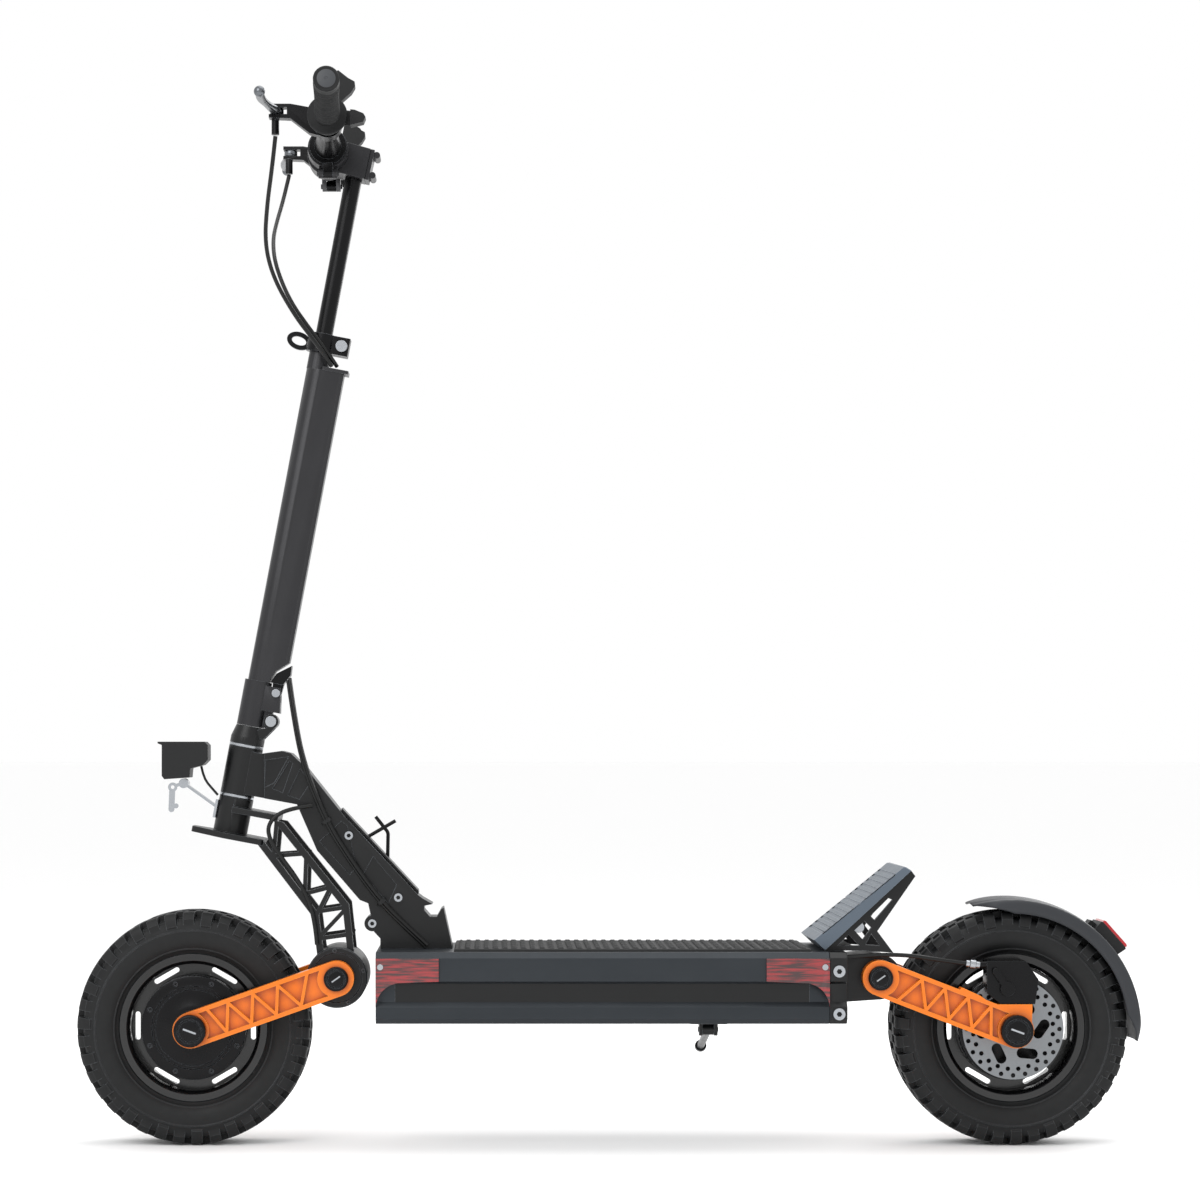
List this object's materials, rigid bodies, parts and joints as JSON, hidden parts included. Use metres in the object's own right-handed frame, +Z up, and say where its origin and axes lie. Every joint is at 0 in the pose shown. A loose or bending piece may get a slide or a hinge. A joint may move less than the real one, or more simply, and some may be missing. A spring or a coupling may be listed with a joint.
{
  "type": "electric kick scooter",
  "caption": "Electric kick scooter with off-road tyres, sprung orange swing arms, a folding stem, folding handlebars, a lit front and a rear brake disc.",
  "frame": {"origin": "centre of the bounding box, on the ground plane under both tyres", "axes": "+X towards the rear wheel, +Y to the rider's right, +Z up"},
  "size_m": [1.2689, 0.6234, 1.2544],
  "materials": {
    "deck_alloy": "satin anodised blue-grey",
    "mat_rubber": "dimpled matt",
    "red_reflector": "prismatic red",
    "bright_steel": "bright zinc and machined steel",
    "cell_wrap": "shrink wrap",
    "bare_alloy": "plain cast",
    "black_cast": "satin black over casting",
    "cable_black": "smooth jacket",
    "lamp_black": "fine grain",
    "stem_grey": "dark grey satin",
    "anodised_black": "semi-gloss black",
    "grip_rubber": "ribbed matt",
    "lever_silver": "polished lever",
    "orange_paint": "gloss orange over casting",
    "tyre_rubber": "off-road blocks",
    "fender_plastic": "grained dark grey",
    "tail_red": "red lens in a black body"
  },
  "bodies": {
    "chassis": {"deck_shell": "deck_alloy", "deck_mat": "mat_rubber", "side_reflectors": "red_reflector", "chassis_bolts": "bright_steel", "battery_pack": "cell_wrap", "controller": "bare_alloy", "neck_frame": "black_cast", "headset_rings": "bright_steel", "neck_cover": "black_cast", "bag_hook": "bright_steel", "neck_cables": "cable_black", "kick_plate": "deck_alloy", "kick_bracket": "black_cast", "rear_torsion_housing": "black_cast", "kickstand_bracket": "black_cast", "brake_cable": "cable_black"},
    "fork": {"fork_crown": "black_cast", "fork_trusses": "black_cast", "front_torsion_housing": "black_cast", "headlight": "lamp_black", "headlight_bracket": "lamp_black", "fold_base": "black_cast", "fork_cables": "cable_black"},
    "stem": {"stem_tube": "stem_grey", "clamp_collar": "anodised_black", "stem_bolts": "bright_steel", "stem_cables": "cable_black"},
    "latch_lever": {"latch_lever": "anodised_black"},
    "clamp_lever": {"clamp_lever": "anodised_black"},
    "bar": {"inner_tube": "anodised_black", "bar_clamp": "stem_grey", "cross_bar": "stem_grey"},
    "left_bar": {"handlebar_left": "stem_grey", "grip_left": "grip_rubber", "lever_perch_left": "anodised_black", "control_pod": "lamp_black"},
    "right_bar": {"handlebar_right": "stem_grey", "grip_right": "grip_rubber", "lever_perch_right": "anodised_black", "display_pod": "lamp_black"},
    "left_lever": {"brake_lever_left": "lever_silver"},
    "right_lever": {"brake_lever_right": "lever_silver"},
    "thumb_paddle": {"thumb_paddle": "lamp_black"},
    "power_button": {"power_button": "lamp_black"},
    "front_arm": {"front_swing_arms": "orange_paint", "front_shafts": "anodised_black"},
    "front_wheel": {"front_tyre": "tyre_rubber", "front_rim": "anodised_black", "front_motor_covers": "anodised_black"},
    "rear_arm": {"rear_swing_arms": "orange_paint", "rear_shafts": "anodised_black", "caliper_body": "anodised_black", "fender": "fender_plastic", "tail_light": "tail_red"},
    "rear_wheel": {"rear_tyre": "tyre_rubber", "rear_rim": "anodised_black", "rear_motor_covers": "anodised_black", "brake_disc": "bright_steel"},
    "caliper_arm": {"caliper_arm": "anodised_black"},
    "kickstand": {"kickstand": "black_cast"}
  },
  "joints": [
    {"name": "steering", "type": "hinge", "parent": "chassis", "child": "fork", "pos_m": [-0.4391, 0, 0.445], "axis": [0.1857, 0, 0.9826], "range_deg": [-40, 40], "deforming": ["neck_cables", "fork_cables"]},
    {"name": "stem_fold", "type": "hinge", "parent": "fork", "child": "stem", "pos_m": [-0.40302, 0, 0.50505], "axis": [0, 1, 0], "range_deg": [0, 88], "deforming": ["neck_cables"]},
    {"name": "latch", "type": "hinge", "parent": "stem", "child": "latch_lever", "pos_m": [-0.39701, 0, 0.53902], "axis": [0, 1, 0], "range_deg": [0, 55]},
    {"name": "clamp_release", "type": "hinge", "parent": "stem", "child": "clamp_lever", "pos_m": [-0.31841, 0.02, 0.95445], "axis": [-0.1857, 0, -0.9826], "range_deg": [0, 90]},
    {"name": "bar_height", "type": "slide", "parent": "stem", "child": "bar", "axis": [0.1857, 0, 0.9826], "range_m": [-0.16, 0], "deforming": ["stem_cables"]},
    {"name": "left_bar_fold", "type": "hinge", "parent": "bar", "child": "left_bar", "pos_m": [-0.333, -0.046, 1.156], "axis": [1, 0, 0], "range_deg": [0, 88], "deforming": ["stem_cables"]},
    {"name": "right_bar_fold", "type": "hinge", "parent": "bar", "child": "right_bar", "pos_m": [-0.333, 0.046, 1.156], "axis": [-1, 0, 0], "range_deg": [0, 88], "deforming": ["stem_cables"]},
    {"name": "left_brake", "type": "hinge", "parent": "left_bar", "child": "left_lever", "pos_m": [-0.388, -0.134, 1.212], "axis": [0, 0, 1], "range_deg": [0, 16], "stiffness_Nm_per_rad": 0.6, "springref_deg": -17.19},
    {"name": "right_brake", "type": "hinge", "parent": "right_bar", "child": "right_lever", "pos_m": [-0.388, 0.134, 1.212], "axis": [0, 0, -1], "range_deg": [0, 16], "stiffness_Nm_per_rad": 0.6, "springref_deg": -17.19},
    {"name": "throttle", "type": "hinge", "parent": "left_bar", "child": "thumb_paddle", "pos_m": [-0.335, 0, 1.183], "axis": [-0.0417, 0.9939, -0.1026], "range_deg": [0, 35], "stiffness_Nm_per_rad": 0.15, "springref_deg": -17.19},
    {"name": "power_press", "type": "slide", "parent": "right_bar", "child": "power_button", "axis": [-0.475, 0, -0.88], "range_m": [0, 0.002], "stiffness_N_per_m": 300, "springref_m": -0.001},
    {"name": "front_suspension", "type": "hinge", "parent": "fork", "child": "front_arm", "pos_m": [-0.322, 0, 0.201], "axis": [0, 1, 0], "range_deg": [0, 14], "stiffness_Nm_per_rad": 400, "springref_deg": -5.73},
    {"name": "front_spin", "type": "hinge", "parent": "front_arm", "child": "front_wheel", "pos_m": [-0.494, 0, 0.14], "axis": [0, 1, 0], "continuous": true},
    {"name": "rear_suspension", "type": "hinge", "parent": "chassis", "child": "rear_arm", "pos_m": [0.32, 0, 0.202], "axis": [0, -1, 0], "range_deg": [0, 14], "stiffness_Nm_per_rad": 400, "springref_deg": -5.73, "deforming": ["brake_cable"]},
    {"name": "rear_spin", "type": "hinge", "parent": "rear_arm", "child": "rear_wheel", "pos_m": [0.48, 0, 0.14], "axis": [0, 1, 0], "continuous": true},
    {"name": "caliper_pull", "type": "hinge", "parent": "rear_arm", "child": "caliper_arm", "pos_m": [0.47, -0.072, 0.189], "axis": [0, -1, 0], "range_deg": [0, 16]},
    {"name": "kickstand_fold", "type": "hinge", "parent": "chassis", "child": "kickstand", "pos_m": [0.1175, -0.062, 0.1405], "axis": [-1, 0, 0], "range_deg": [0, 92]}
  ],
  "couplings": [
    {"joint": "caliper_pull", "follows": "left_brake", "ratio": 1}
  ]
}
